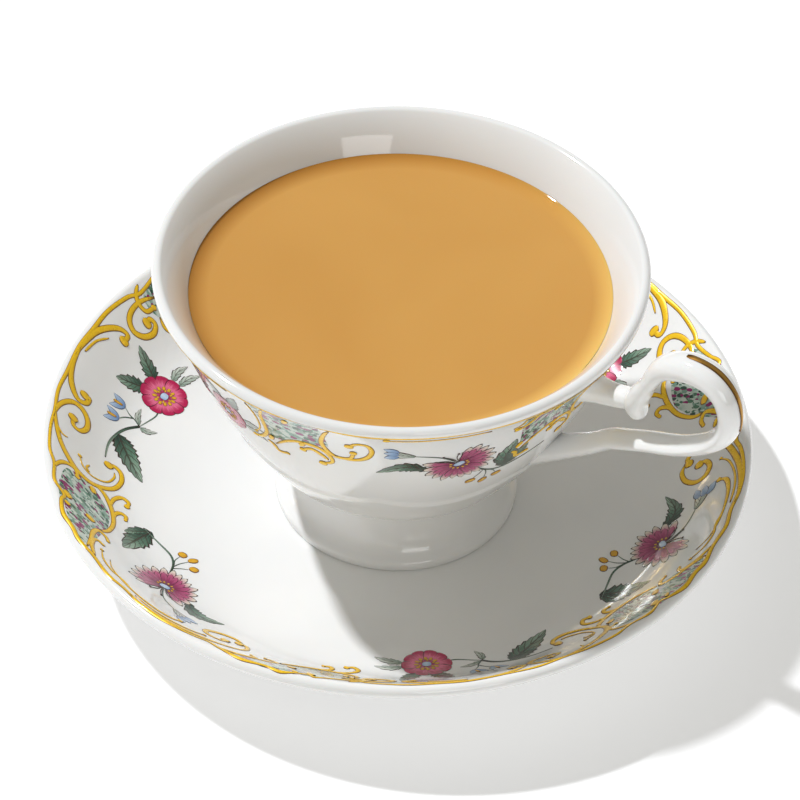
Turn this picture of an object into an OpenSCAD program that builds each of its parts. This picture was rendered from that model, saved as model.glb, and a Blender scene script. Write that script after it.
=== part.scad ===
// A footed porcelain teacup with a scroll handle, filled with milk tea, on its saucer.
// The saucer's foot ring stands on z = 0, the cup's axis is Z and the handle points along +X.

/* [Saucer] */
// Diameter over the saucer's rim
saucer_d = 150; // [130:1:190]
// Height of the saucer's rim above the table
saucer_h = 22.6; // [16:0.5:28]
// Height of the flat well above the table
well_h = 5; // [4:0.5:8]
// Play around the cup's base in the flat well
well_play = 2; // [1:0.5:6]
// Thickness of the saucer's body
saucer_wall = 3.4; // [2.5:0.1:5]
// Thickness of the saucer's rounded edge
saucer_lip = 2.6; // [1.8:0.1:4]
// Diameter at which the gentle dish turns up into the border
border_d = 113; // [100:1:124]
// Height of the dish there above the table
border_h = 9.1; // [7:0.1:12]
// Slope of the dish where it turns up
turn_slope = 20; // [10:1:30]
// Slope of the border at the rim
border_slope = 38; // [28:1:45]
// Diameter over the foot ring under the saucer
ring_d = 86; // [70:1:110]
// Width of the foot ring where it touches the table
ring_w = 2.6; // [1.5:0.1:5]
// Depth of the recess inside the foot ring
ring_recess = 1.6; // [0.8:0.1:2.4]

/* [Cup] */
// Diameter over the cup's rim
rim_d = 100.8; // [90:0.2:125]
// Height of the cup from its base to its rim
cup_h = 64; // [56:0.1:80]
// Diameter of the cup's base
base_d = 51.8; // [44:0.2:64]
// Height of the plain band round the base
band_h = 2; // [1:0.1:4]
// Step in from the band to the flared foot
band_step = 0.5; // [0.2:0.1:1]
// Diameter of the waist between the foot and the bowl
waist_d = 44; // [38:0.2:48]
// Height of the waist above the base
waist_h = 12.6; // [10:0.1:15]
// Radius of the bead round the waist
bead_r = 0.9; // [0.5:0.1:1.4]
// Diameter of the bowl at its belly
belly_d = 61.2; // [56:0.2:74]
// Height of the belly above the base
belly_h = 21.4; // [19:0.1:26]
// Diameter of the bowl at its shoulder
shoulder_d = 88.4; // [80:0.2:106]
// Height of the shoulder above the base
shoulder_h = 48.2; // [42:0.1:52]
// Lean of the wall at the belly, from the vertical
belly_lean = 33; // [25:1:40]
// Lean of the wall at the shoulder, from the vertical
shoulder_lean = 19; // [12:1:28]
// Lean of the wall at the rim, from the vertical
rim_lean = 31; // [20:1:36]
// Thickness of the bowl's wall
cup_wall = 4; // [2.4:0.1:4.4]
// Thickness of the rounded lip
lip_t = 2.4; // [1.8:0.1:3.6]
// Height of the inside floor above the base
floor_h = 18; // [16.5:0.1:21]
// Thickness of the floor over the hollow foot
floor_t = 3.6; // [2.6:0.1:5]
// Width of the foot where it touches the saucer
foot_w = 2.8; // [2:0.1:5]

/* [Handle] */
// Reach of the handle beyond the rim
handle_reach = 30.6; // [24:0.2:40]
// Rise of the handle above the rim
handle_rise = 12.5; // [8:0.1:20]
// Drop from the rim to the middle of the neck that joins the handle to the bowl
handle_drop = 6.8; // [5.5:0.1:9]
// Height of the handle's lower joint above the base
handle_low_h = 30; // [27:0.5:38]
// Thickness of the handle where it crowns
crown_t = 5.6; // [4.5:0.1:7]
// Thickness of the handle along its lower arm
arm_t = 4.3; // [3.6:0.1:6]
// Width of the handle across the grip
grip_w = 6.8; // [6:0.1:9]
// Thickness of the neck
neck_t = 5; // [3.6:0.1:5.6]
// Drop from the rim to the tip of the scroll that hangs inside the loop
scroll_drop = 9.6; // [8.6:0.1:10.6]
// Thickness of the scroll
scroll_t = 4.8; // [4:0.1:5.6]

/* [Tea] */
// Distance from the rim down to the tea
tea_drop = 8.3; // [5:0.1:20]
// Gap between the tea and the cup's glaze, so that the solids only meet
tea_gap = 0.05; // [0.02:0.01:0.2]

/* [Hidden] */
porcelain = [0.95, 0.95, 0.93];
milk_tea = [0.83, 0.62, 0.36];
// Steps along each stretch of a profile
curve_steps = 14;
// Steps round a half circle such as a lip
round_steps = 8;
// Steps between two points of a handle's path
path_steps = 3;
// Sides of the handle's section
section_sides = 16;
// Facets of a full turn
$fn = 96;

saucer_r = saucer_d / 2;
rim_r = rim_d / 2;
base_r = base_d / 2;
waist_r = waist_d / 2;
belly_r = belly_d / 2;
shoulder_r = shoulder_d / 2;
ring_r = ring_d / 2;
well_r = base_r + well_play;
lip_r = lip_t / 2;
edge_r = saucer_lip / 2;
border_r = border_d / 2;

// How far the foot ring flares where it meets the saucer's underside
ring_flare = 1.2;
// Lean of the underside where it leaves the foot ring
underside_lean = 82;
// Bevel at the foot of the cup's plain band
base_bevel = 0.6;
// Leans of the flared foot at the band, of the bowl above the bead and of the hollow at its mouth
foot_lean = -62;
bowl_start_lean = 76;
hollow_lean = -52;
// Height of the straight mouth of the hollow foot, and how far its narrow part ends below the waist
hollow_mouth_h = 0.4;
hollow_waist_drop = 2;
// How much more the inside of the bowl leans at the belly than the outside
inner_lean_extra = 14;
// Lean of the inside of the wall where it meets the lip
inner_rim_lean = 46;
// How far the neck and the lower arm sink into the wall
neck_sink = 2.6;
joint_sink = 4;
// Rise of the neck on its way to the loop
neck_rise = 2.6;
// Height of the thumb's crest on the handle's lower arm
arm_crest = 1.5;

// Point at t on the cubic curve with the four given points
function cubic(a, b, c, d, t) =
    pow(1 - t, 3) * a + 3 * pow(1 - t, 2) * t * b + 3 * (1 - t) * t * t * c + pow(t, 3) * d;

// Direction in [radius, height] that leans outwards from the vertical
function lean_dir(angle) = [sin(angle), cos(angle)];

// Smooth stretch of a profile from a to b, with its lean at both ends
function stretch(a, lean_a, b, lean_b) =
    let (reach = norm(b - a) / 3)
    [for (i = [0:curve_steps])
        cubic(a, a + reach * lean_dir(lean_a), b - reach * lean_dir(lean_b), b, i / curve_steps)];

// Arc of a profile round a centre
function arc(centre, radius, from, to) =
    [for (i = [0:round_steps])
        let (angle = from + (to - from) * i / round_steps)
        centre + radius * [cos(angle), sin(angle)]];

// Point on the saucer's rounded edge, by its direction from the edge's centre
edge_centre = [saucer_r - edge_r, saucer_h - edge_r];
function edge_point(angle) = edge_centre + edge_r * [cos(angle), sin(angle)];

// Point on the cup's rounded lip, by its direction from the lip's centre
lip_centre = [rim_r - lip_r, cup_h - lip_r];
function lip_point(angle) = lip_centre + lip_r * [cos(angle), sin(angle)];

turn = [border_r, border_h];
turn_under = turn + saucer_wall * [sin(turn_slope), -cos(turn_slope)];

saucer_upper = concat(
    stretch([well_r, well_h], 90, turn, 90 - turn_slope),
    stretch(turn, 90 - turn_slope, edge_point(90 + border_slope), 90 - border_slope)
);
saucer_under = concat(
    stretch(
        [ring_r + ring_flare, well_h - saucer_wall + ring_flare], underside_lean,
        turn_under, 90 - turn_slope
    ),
    stretch(turn_under, 90 - turn_slope, edge_point(border_slope - 90), 90 - border_slope)
);

cup_outside = concat(
    [[base_r - base_bevel, 0], [base_r, base_bevel], [base_r, band_h]],
    stretch([base_r - band_step, band_h + band_step], foot_lean, [waist_r, waist_h - bead_r], 0),
    arc([waist_r, waist_h], bead_r, -90, 90),
    stretch([waist_r, waist_h + bead_r], bowl_start_lean, [belly_r, belly_h], belly_lean),
    stretch([belly_r, belly_h], belly_lean, [shoulder_r, shoulder_h], shoulder_lean),
    stretch([shoulder_r, shoulder_h], shoulder_lean, lip_point(-rim_lean), rim_lean)
);

// Horizontal thickness of the leaning wall at the belly and the shoulder
wall_inset = [cup_wall / cos(belly_lean), cup_wall / cos(shoulder_lean)];

cup_inside = concat(
    let (belly = [belly_r - wall_inset[0], belly_h + cup_wall], lean = belly_lean + inner_lean_extra)
        concat(
            stretch([0, floor_h], 90, belly, lean),
            stretch(belly, lean, [shoulder_r - wall_inset[1], shoulder_h], shoulder_lean)
        ),
    stretch(
        [shoulder_r - wall_inset[1], shoulder_h], shoulder_lean,
        lip_point(180 - inner_rim_lean), inner_rim_lean
    )
);

// Radius of a profile at a height
function radius_at(profile, height) = lookup(height, [for (p = profile) [p[1], p[0]]]);

// The handle's loop from its scroll to its lower arm, by shares of its reach beyond the rim and
// of its rise above it
loop_shares = [
    [0.25, -0.66], [0.29, -0.27], [0.345, 0.09], [0.425, 0.58], [0.53, 0.84], [0.67, 1], [0.83, 0.97],
    [0.94, 0.71], [0.99, 0.33], [0.99, -0.04], [0.94, -0.43], [0.83, -0.81], [0.63, -1.23],
    [0.39, -1.55],
];
crown = [handle_reach - arm_t / 2, handle_rise - crown_t / 2];
function loop_point(share) = [rim_r + share[0] * crown[0], cup_h + share[1] * crown[1]];

// Points of the lower arm, by their share of the way from the loop to the bowl and of its crest
arm_shares = [[0.2, 0.7], [0.3, 1], [0.45, 0.4], [0.7, 0.05], [1, 0]];
arm_top = loop_point(loop_shares[len(loop_shares) - 1]);
arm_foot = [radius_at(cup_outside, handle_low_h) - joint_sink, handle_low_h];
function arm_point(share) = arm_top + share[0] * (arm_foot - arm_top) + [0, share[1] * arm_crest];

// Points of the handle's middle line as [radius, height] from the cup's base
handle_path = concat(
    [[rim_r + 0.3 * crown[0], cup_h - scroll_drop]],
    [for (share = loop_shares) loop_point(share)],
    [for (share = arm_shares) arm_point(share)]
);

// Thickness in the handle's plane and width across it, at shares of the path's length
handle_thickness = [
    [0, 0.45 * scroll_t], [0.05, scroll_t], [0.1, scroll_t - 0.7], [0.155, 0.65 * scroll_t],
    [0.21, crown_t - 1], [0.27, crown_t], [0.4, crown_t - 0.3], [0.5, arm_t + 0.6],
    [0.65, arm_t], [0.9, arm_t], [1, arm_t + 1.6],
];
handle_width = [
    [0, 0.4 * grip_w], [0.05, grip_w - 1], [0.16, grip_w - 1], [0.3, grip_w],
    [0.5, grip_w - 0.5], [0.9, grip_w - 0.5], [1, grip_w + 1.7],
];

// The neck that joins the loop to the bowl
neck_h = cup_h - handle_drop;
neck_end = loop_point([0.27, -0.56]);
neck_path = [
    [radius_at(cup_outside, neck_h) - neck_sink, neck_h - neck_rise / 2],
    [(rim_r + neck_end[0]) / 2 - 2, neck_h],
    neck_end,
];
neck_thickness = [[0, neck_t + 0.6], [0.5, neck_t], [1, neck_t + 0.4]];
neck_width = [[0, grip_w], [0.5, grip_w - 1], [1, grip_w - 1.6]];

// Smooth path through the points
function between(points, i, t) =
    let (
        last = len(points) - 1,
        a = points[max(0, i - 1)],
        b = points[i],
        c = points[min(last, i + 1)],
        d = points[min(last, i + 2)]
    )
    cubic(b, b + (c - a) / 6, c - (d - b) / 6, c, t);
function smooth_path(points) = concat(
    [for (i = [0:len(points) - 2], j = [0:path_steps - 1]) between(points, i, j / path_steps)],
    [points[len(points) - 1]]
);

// One ring of a bar's section, square to the path at point i
function ring(path, i, thickness, width) =
    let (
        last = len(path) - 1,
        along = path[min(last, i + 1)] - path[max(0, i - 1)],
        side = [-along[1], along[0]] / norm(along),
        t = lookup(i / last, thickness) / 2,
        w = lookup(i / last, width) / 2
    )
    [for (k = [0:section_sides - 1])
        let (angle = 360 * k / section_sides, in_plane = path[i] + t * cos(angle) * side)
        [in_plane[0], w * sin(angle), in_plane[1]]];

// Solid bar that follows a path in the XZ plane
module bar(points, thickness, width) {
    path = smooth_path(points);
    rings = len(path);
    n = section_sides;
    vertices = [for (i = [0:rings - 1]) each ring(path, i, thickness, width)];
    sides = [for (i = [0:rings - 2], k = [0:n - 1])
        let (a = i * n + k, b = i * n + (k + 1) % n)
        each [[a, b, b + n], [a, b + n, a + n]]];
    ends = [[for (k = [0:n - 1]) n - 1 - k], [for (k = [0:n - 1]) (rings - 1) * n + k]];
    polyhedron(points = vertices, faces = concat(sides, ends));
}

module saucer() {
    color(porcelain)
        rotate_extrude()
            polygon(concat(
                [[0, ring_recess], [ring_r - ring_w - ring_recess, ring_recess]],
                [[ring_r - ring_w, 0], [ring_r, 0]],
                saucer_under,
                arc(edge_centre, edge_r, border_slope - 90, border_slope + 90),
                [for (i = [len(saucer_upper) - 1:-1:0]) saucer_upper[i]],
                [[0, well_h]]
            ));
}

// Everything inside the cup's outer surface
module cup_body() {
    rotate_extrude()
        polygon(concat(
            [[0, 0]],
            cup_outside,
            arc(lip_centre, lip_r, -rim_lean, 90),
            [[0, cup_h]]
        ));
}

// The space inside the bowl, up past the handle
module cup_hollow() {
    mouth = arc(lip_centre, lip_r, 180 - inner_rim_lean, 90);
    top = cup_h + handle_rise + 1;
    rotate_extrude()
        polygon(concat(cup_inside, mouth, [[rim_r - lip_r, top], [0, top]]));
}

// The hollow under the foot
module foot_hollow() {
    mouth = [base_r - foot_w, hollow_mouth_h];
    waist = [waist_r - cup_wall, waist_h - hollow_waist_drop];
    rotate_extrude()
        polygon(concat(
            [[0, -1], [mouth[0], -1]],
            stretch(mouth, hollow_lean, waist, 0),
            stretch(waist, 0, [0, floor_h - floor_t], -90)
        ));
}

module cup() {
    color(porcelain)
        translate([0, 0, well_h])
            difference() {
                union() {
                    cup_body();
                    bar(handle_path, handle_thickness, handle_width);
                    bar(neck_path, neck_thickness, neck_width);
                }
                cup_hollow();
                foot_hollow();
            }
}

module tea() {
    level = cup_h - tea_drop;
    below = [for (p = cup_inside) if (p[1] + tea_gap < level) p];
    wetted = [for (p = below) [max(0, p[0] - tea_gap), p[1] + tea_gap]];
    color(milk_tea)
        translate([0, 0, well_h])
            rotate_extrude()
                polygon(concat(wetted, [[radius_at(cup_inside, level) - tea_gap, level], [0, level]]));
}

saucer();
cup();
tea();
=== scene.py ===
from math import atan2, cos, exp, hypot, pi, radians, sin, sqrt

import bpy
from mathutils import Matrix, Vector


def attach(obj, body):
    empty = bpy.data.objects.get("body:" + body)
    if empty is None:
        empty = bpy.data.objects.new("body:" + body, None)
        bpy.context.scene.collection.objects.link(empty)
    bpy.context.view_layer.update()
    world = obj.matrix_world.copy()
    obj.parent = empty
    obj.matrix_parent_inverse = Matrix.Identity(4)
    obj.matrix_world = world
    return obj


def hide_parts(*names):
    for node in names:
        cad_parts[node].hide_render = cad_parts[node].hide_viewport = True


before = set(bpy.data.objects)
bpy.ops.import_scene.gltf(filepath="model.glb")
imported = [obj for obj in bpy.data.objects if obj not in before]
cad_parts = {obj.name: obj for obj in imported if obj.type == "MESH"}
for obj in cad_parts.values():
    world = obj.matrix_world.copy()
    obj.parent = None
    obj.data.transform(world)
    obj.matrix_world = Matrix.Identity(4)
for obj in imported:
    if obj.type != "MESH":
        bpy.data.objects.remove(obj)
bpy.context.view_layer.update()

# ---- Studio -------------------------------------------------------------------------------------
# A pale table under a high, rather hard light from the left and behind, with a pale room all round
# that fills the shade, and one square window that the glaze mirrors.
scene = bpy.context.scene
bpy.ops.object.select_all(action="DESELECT")
bpy.ops.object.camera_add(
    location=(0.2898, -0.3989, 0.4969),
    rotation=(radians(46.549), radians(-0.973), radians(36.877)),
)
camera = bpy.context.object
camera.data.lens = 145.6
scene.camera = camera
scene.view_settings.view_transform = "Standard"

bpy.ops.mesh.primitive_plane_add(size=4, location=(0, 0, 0))
table_top = bpy.context.object
table_top.name = "table_top"
paint = bpy.data.materials.new("white_table")
paint.use_nodes = True
surface = paint.node_tree.nodes["Principled BSDF"]
surface.inputs["Base Color"].default_value = (0.70, 0.70, 0.70, 1)
surface.inputs["Roughness"].default_value = 0.7
surface.inputs["Emission Color"].default_value = (1, 1, 1, 1)
surface.inputs["Emission Strength"].default_value = 0.36
table_top.data.materials.append(paint)

bpy.ops.object.light_add(type="SUN", rotation=(0, radians(33.5), radians(186.5)))
sun = bpy.context.object.data
sun.energy = 2.75
sun.angle = radians(2.6)
sun.color = (0.95, 0.965, 1.0)
bpy.ops.object.light_add(
    type="AREA", location=(0.93, -0.66, 0.42), rotation=(radians(70), 0, radians(55))
)
window = bpy.context.object.data
window.shape = "RECTANGLE"
window.size = 0.48
window.size_y = 0.5
window.energy = 1.7

room = bpy.data.worlds.new("pale_room")
scene.world = room
room.use_nodes = True
room.node_tree.nodes["Background"].inputs["Color"].default_value = (1.0, 0.982, 0.90, 1)
room.node_tree.nodes["Background"].inputs["Strength"].default_value = 0.30

# ---- Saucer -------------------------------------------------------------------------------------
# Thrown porcelain with a flat well, a gently dished body and a border that turns up, on a foot ring.
# It is one closed turned shape, glazed all over.
MM = 0.001
SAUCER_R, SAUCER_H, WELL_H = 74.98, 22.6, 5.0
SAUCER_WALL, SAUCER_EDGE_R = 3.4, 1.3
WELL_R, BORDER_R, BORDER_H = 27.9, 56.5, 9.1
TURN_SLOPE, BORDER_SLOPE = 20, 38
RING_R, RING_W, RING_RECESS, RING_FLARE = 43.0, 2.6, 1.6, 1.2
PORCELAIN = (0.905, 0.905, 0.89)
PORCELAIN_SHADE = (0.865, 0.868, 0.86)


def leaning(lean):
    """Direction in (radius, height) that leans out from the vertical."""
    return Vector((sin(radians(lean)), cos(radians(lean))))


def sweep(a, lean_a, b, lean_b, steps):
    """Smooth stretch of a profile from a to b, with its lean at both ends."""
    a, b = Vector(a), Vector(b)
    reach = (b - a).length / 3
    c, d = a + reach * leaning(lean_a), b - reach * leaning(lean_b)
    stretch = []
    for i in range(steps + 1):
        t = i / steps
        stretch.append((1 - t) ** 3 * a + 3 * (1 - t) ** 2 * t * c + 3 * (1 - t) * t * t * d + t ** 3 * b)
    return stretch


def rounding(centre, radius, start, end, steps):
    """Points round a profile's edge, from one direction to another."""
    angles = [radians(start + (end - start) * i / steps) for i in range(steps + 1)]
    return [Vector(centre) + radius * Vector((cos(a), sin(a))) for a in angles]


def look_up(profile, where, column=0):
    """Value of a profile between its points: radius at a height, or height at a radius."""
    for (p, q) in zip(profile, profile[1:]):
        low, high = sorted((p, q), key=lambda v: v[1 - column])
        if low[1 - column] <= where <= high[1 - column]:
            share = (where - low[1 - column]) / max(1e-9, high[1 - column] - low[1 - column])
            return low[column] + share * (high[column] - low[column])
    return profile[-1][column]


def turned(name, profile, sides):
    """A closed shape turned on the Z axis from a profile that starts and ends on it."""
    bpy.ops.object.select_all(action="DESELECT")
    bpy.ops.mesh.primitive_plane_add(size=MM, location=(0, 0, 0))
    piece = bpy.context.object
    piece.name = name
    bpy.ops.object.mode_set(mode="EDIT")
    bpy.ops.mesh.merge(type="CENTER")
    at = Vector((0, 0))
    for i, point in enumerate(profile):
        step = (MM * (point[0] - at[0]), 0, MM * (point[1] - at[1]))
        if i == 0:
            bpy.ops.transform.translate(value=step)
        else:
            bpy.ops.mesh.extrude_region_move(TRANSFORM_OT_translate={"value": step})
        at = point
    bpy.ops.mesh.select_all(action="SELECT")
    bpy.ops.mesh.spin(steps=sides, angle=2 * pi, center=(0, 0, 0), axis=(0, 0, 1))
    bpy.ops.mesh.select_all(action="SELECT")
    bpy.ops.mesh.remove_doubles(threshold=0.004 * MM)
    bpy.ops.mesh.normals_make_consistent(inside=False)
    bpy.ops.object.mode_set(mode="OBJECT")
    bpy.ops.object.shade_smooth_by_angle(angle=radians(35))
    return piece


def material(name):
    """A new material with its node tree and its shader."""
    made = bpy.data.materials.new(name)
    made.use_nodes = True
    return made, made.node_tree, made.node_tree.nodes["Principled BSDF"]


def node(tree, kind, **settings):
    """A node of a kind, with its settings and its unlinked sockets filled in."""
    made = tree.nodes.new(kind)
    for key, value in settings.items():
        if key in made.inputs:
            made.inputs[key].default_value = value
        else:
            setattr(made, key, value)
    return made


def ramp(tree, factor, stops, interpolation="LINEAR"):
    """A colour ramp fed by a factor; stops are (place, colour)."""
    made = tree.nodes.new("ShaderNodeValToRGB")
    made.color_ramp.interpolation = interpolation
    elements = made.color_ramp.elements
    while len(elements) < len(stops):
        elements.new(0.5)
    for element, (place, colour) in zip(elements, stops):
        element.position = place
        element.color = (*colour, 1) if len(colour) == 3 else colour
    tree.links.new(factor, made.inputs["Fac"])
    return made.outputs["Color"]


def sums(tree, operation, a, b=None, c=None):
    """A Math node; sockets are linked and numbers are filled in."""
    made = tree.nodes.new("ShaderNodeMath")
    made.operation = operation
    for socket, value in zip(made.inputs, (a, b, c)):
        if isinstance(value, (int, float)):
            socket.default_value = value
        elif value is not None:
            tree.links.new(value, socket)
    return made.outputs[0]


def blended(tree, factor, a, b):
    """A mix of two colours, each a socket or an (r, g, b)."""
    made = tree.nodes.new("ShaderNodeMix")
    made.data_type = "RGBA"
    links = {"Factor_Float": factor, "A_Color": a, "B_Color": b}
    for socket in made.inputs:
        value = links.get(socket.identifier)
        if value is None:
            continue
        if isinstance(value, tuple):
            socket.default_value = (*value, 1)
        elif isinstance(value, (int, float)):
            socket.default_value = value
        else:
            tree.links.new(value, socket)
    return [o for o in made.outputs if o.identifier == "Result_Color"][0]


def glaze(name):
    """White porcelain under a clear, slightly wavy glaze, with a rare dark speck."""
    made, tree, shader = material(name)
    place = node(tree, "ShaderNodeTexCoord").outputs["Object"]
    clouds = node(tree, "ShaderNodeTexNoise", Scale=38.0, Detail=2.0)
    waves = node(tree, "ShaderNodeTexNoise", Scale=150.0, Detail=1.0)
    peel = node(tree, "ShaderNodeTexNoise", Scale=900.0, Detail=1.0)
    specks = node(tree, "ShaderNodeTexVoronoi", Scale=55.0)
    for texture in (clouds, waves, peel, specks):
        tree.links.new(place, texture.inputs["Vector"])
    body = ramp(tree, clouds.outputs["Fac"], [(0.35, PORCELAIN_SHADE), (0.65, PORCELAIN)])
    near = sums(tree, "LESS_THAN", specks.outputs["Distance"], 0.011)
    red = node(tree, "ShaderNodeSeparateColor")
    tree.links.new(specks.outputs["Color"], red.inputs[0])
    rare = sums(tree, "GREATER_THAN", red.outputs[0], 0.93)
    spot = sums(tree, "MULTIPLY", near, rare)
    tree.links.new(blended(tree, spot, body, (0.22, 0.19, 0.16)), shader.inputs["Base Color"])
    shine = node(tree, "ShaderNodeMapRange")
    tree.links.new(clouds.outputs["Fac"], shine.inputs["Value"])
    shine.inputs["To Min"].default_value = 0.05
    shine.inputs["To Max"].default_value = 0.09
    tree.links.new(shine.outputs[0], shader.inputs["Roughness"])
    height = sums(tree, "MULTIPLY_ADD", peel.outputs["Fac"], 0.06, waves.outputs["Fac"])
    bump = node(tree, "ShaderNodeBump", Strength=0.045, Distance=0.0005)
    tree.links.new(height, bump.inputs["Height"])
    tree.links.new(bump.outputs["Normal"], shader.inputs["Normal"])
    shader.inputs["IOR"].default_value = 1.5
    shader.inputs["Coat Weight"].default_value = 0.5
    shader.inputs["Coat Roughness"].default_value = 0.03
    shader.inputs["Subsurface Weight"].default_value = 0.12
    shader.inputs["Subsurface Radius"].default_value = (0.9, 0.7, 0.55)
    shader.inputs["Subsurface Scale"].default_value = 0.0012
    return made


edge_centre = Vector((SAUCER_R - SAUCER_EDGE_R, SAUCER_H - SAUCER_EDGE_R))
turn = Vector((BORDER_R, BORDER_H))
turn_under = turn + SAUCER_WALL * Vector((sin(radians(TURN_SLOPE)), -cos(radians(TURN_SLOPE))))
edge = rounding(edge_centre, SAUCER_EDGE_R, BORDER_SLOPE - 90, BORDER_SLOPE + 90, 14)
saucer_under = [
    *sweep((RING_R + RING_FLARE, WELL_H - SAUCER_WALL + RING_FLARE), 82, turn_under, 90 - TURN_SLOPE, 14),
    *sweep(turn_under, 90 - TURN_SLOPE, edge[0], 90 - BORDER_SLOPE, 14)[1:-1],
]
saucer_top = [
    Vector((0, WELL_H)), Vector((14, WELL_H)),
    *sweep((WELL_R, WELL_H), 90, turn, 90 - TURN_SLOPE, 20),
    *sweep(turn, 90 - TURN_SLOPE, edge[-1], 90 - BORDER_SLOPE, 20)[1:-1],
]
saucer_face = saucer_top + edge[-1:4:-1]
ring = [
    (0, RING_RECESS), (RING_R - RING_W - RING_RECESS - 1.2, RING_RECESS),
    (RING_R - RING_W - RING_RECESS + 0.5, RING_RECESS - 0.35), (RING_R - RING_W, 0.25),
    (RING_R - RING_W + 0.4, 0), (RING_R - 0.4, 0), (RING_R, 0.3),
]
saucer = turned("saucer_body", ring + saucer_under + edge + saucer_top[::-1], 192)
saucer.data.materials.append(glaze("saucer_glaze"))
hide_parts("saucer")
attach(saucer, "root")

# ---- Saucer's gilding ---------------------------------------------------------------------------
# Burnished gold painted thick over the glaze with a brown outline: a waving line inside the rim,
# scrolls that end in balls, and the frames of six panels, one pattern of 120 degrees laid three times.
GILT_THICK, SINK = 0.16, 0.03
GOLD, GOLD_DEEP, GOLD_LINE = (0.98, 0.61, 0.012), (0.76, 0.40, 0.008), (0.16, 0.065, 0.006)
PATTERN_START = 196
PATTERN_TURN = 120
MIRROR_SUM = 134.5


def on_line(points, t):
    """Place and direction on a smooth line through the points, at a share of its length."""
    last = len(points) - 1
    i = min(last - 1, int(t * last))
    u = t * last - i
    a, b, c, d = (Vector(points[max(0, min(last, k))]) for k in (i - 1, i, i + 1, i + 2))
    out, back = (c - a) / 2, (d - b) / 2
    place = (
        (2 * u ** 3 - 3 * u * u + 1) * b + (u ** 3 - 2 * u * u + u) * out
        + (3 * u * u - 2 * u ** 3) * c + (u ** 3 - u * u) * back
    )
    way = (
        (6 * u * u - 6 * u) * b + (3 * u * u - 4 * u + 1) * out
        + (6 * u - 6 * u * u) * c + (3 * u * u - 2 * u) * back
    )
    return place, way.normalized() if way.length > 1e-9 else (c - b).normalized()


def share_of(table, t):
    """Value at t in a table of (t, value)."""
    for (low, a), (high, b) in zip(table, table[1:]):
        if t <= high:
            return a + (b - a) * max(0.0, t - low) / (high - low)
    return table[-1][1]


def brushed(points, widths, top, crown=0.0, across=4, along=24, teeth=0, bite=0.0):
    """One stroke in the flat, in millimetres: a grid bent along a line, crowned, with a thin body."""
    bpy.ops.mesh.primitive_grid_add(x_subdivisions=across, y_subdivisions=along, size=1, calc_uvs=True)
    stroke = bpy.context.object
    for vertex in stroke.data.vertices:
        side, t = 2 * vertex.co.x, vertex.co.y + 0.5
        place, way = on_line(points, t)
        half = share_of(widths, t) / 2
        if teeth:
            half *= 1 - bite * abs(side) * (1 - (t * teeth) % 1)
        out = side * half
        vertex.co = (place[0] + way[1] * out, place[1] - way[0] * out, top + crown * (1 - side * side))
    bpy.ops.object.mode_set(mode="EDIT")
    bpy.ops.mesh.extrude_region_move(TRANSFORM_OT_translate={"value": (0, 0, -top - SINK)})
    bpy.ops.mesh.select_all(action="SELECT")
    bpy.ops.mesh.remove_doubles(threshold=0.002)
    bpy.ops.mesh.normals_make_consistent(inside=False)
    bpy.ops.object.mode_set(mode="OBJECT")
    return stroke


def dab(x, y, length, width, top, turn_by=0.0, crown=0.1):
    """A round or oval spot of paint."""
    way = Vector((cos(radians(turn_by)), sin(radians(turn_by)))) * length / 2
    ends = [Vector((x, y)) - way, Vector((x, y)), Vector((x, y)) + way]
    round_end = [(i / 12, width * sqrt(max(0.0, 1 - (2 * i / 12 - 1) ** 2))) for i in range(13)]
    return brushed(ends, round_end, top, crown, across=4, along=12)


def joined(name, strokes):
    """Strokes of one colour made one piece."""
    bpy.ops.object.select_all(action="DESELECT")
    for stroke in strokes:
        stroke.select_set(True)
    bpy.context.view_layer.objects.active = strokes[0]
    if len(strokes) > 1:
        bpy.ops.object.join()
    piece = bpy.context.object
    piece.name = name
    return piece


def copied(piece):
    """A copy with its own mesh."""
    bpy.ops.object.select_all(action="DESELECT")
    piece.select_set(True)
    bpy.context.view_layer.objects.active = piece
    bpy.ops.object.duplicate(linked=False)
    return bpy.context.object


def polar(points, mirrored=False):
    """Points given as (degrees round the pattern, radius), as places in the flat."""
    flat = []
    for angle, radius in points:
        angle = radians(PATTERN_START + (MIRROR_SUM - angle if mirrored else angle))
        flat.append((radius * cos(angle), radius * sin(angle)))
    return flat


SCROLL = [(0, 0.4), (0.12, 0.95), (0.4, 1.4), (0.8, 1.1), (1, 1.0)]
THIN = [(0, 0.25), (0.15, 0.55), (0.8, 0.48), (1, 0.2)]


def scrolled(points, widths=SCROLL, ball=2.0, mirrored=False, scale=1.0):
    """A gilt scroll, with a ball at its last point where ball is its width."""
    line = polar(points, mirrored)
    widths = [(t, scale * w) for t, w in widths]
    rows = max(12, 5 * len(points))
    strokes = [brushed(line, widths, 0.05, GILT_THICK, across=5, along=rows)]
    if ball:
        strokes.append(dab(*line[-1], ball, ball, 0.07, crown=0.24))
    return strokes


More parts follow.
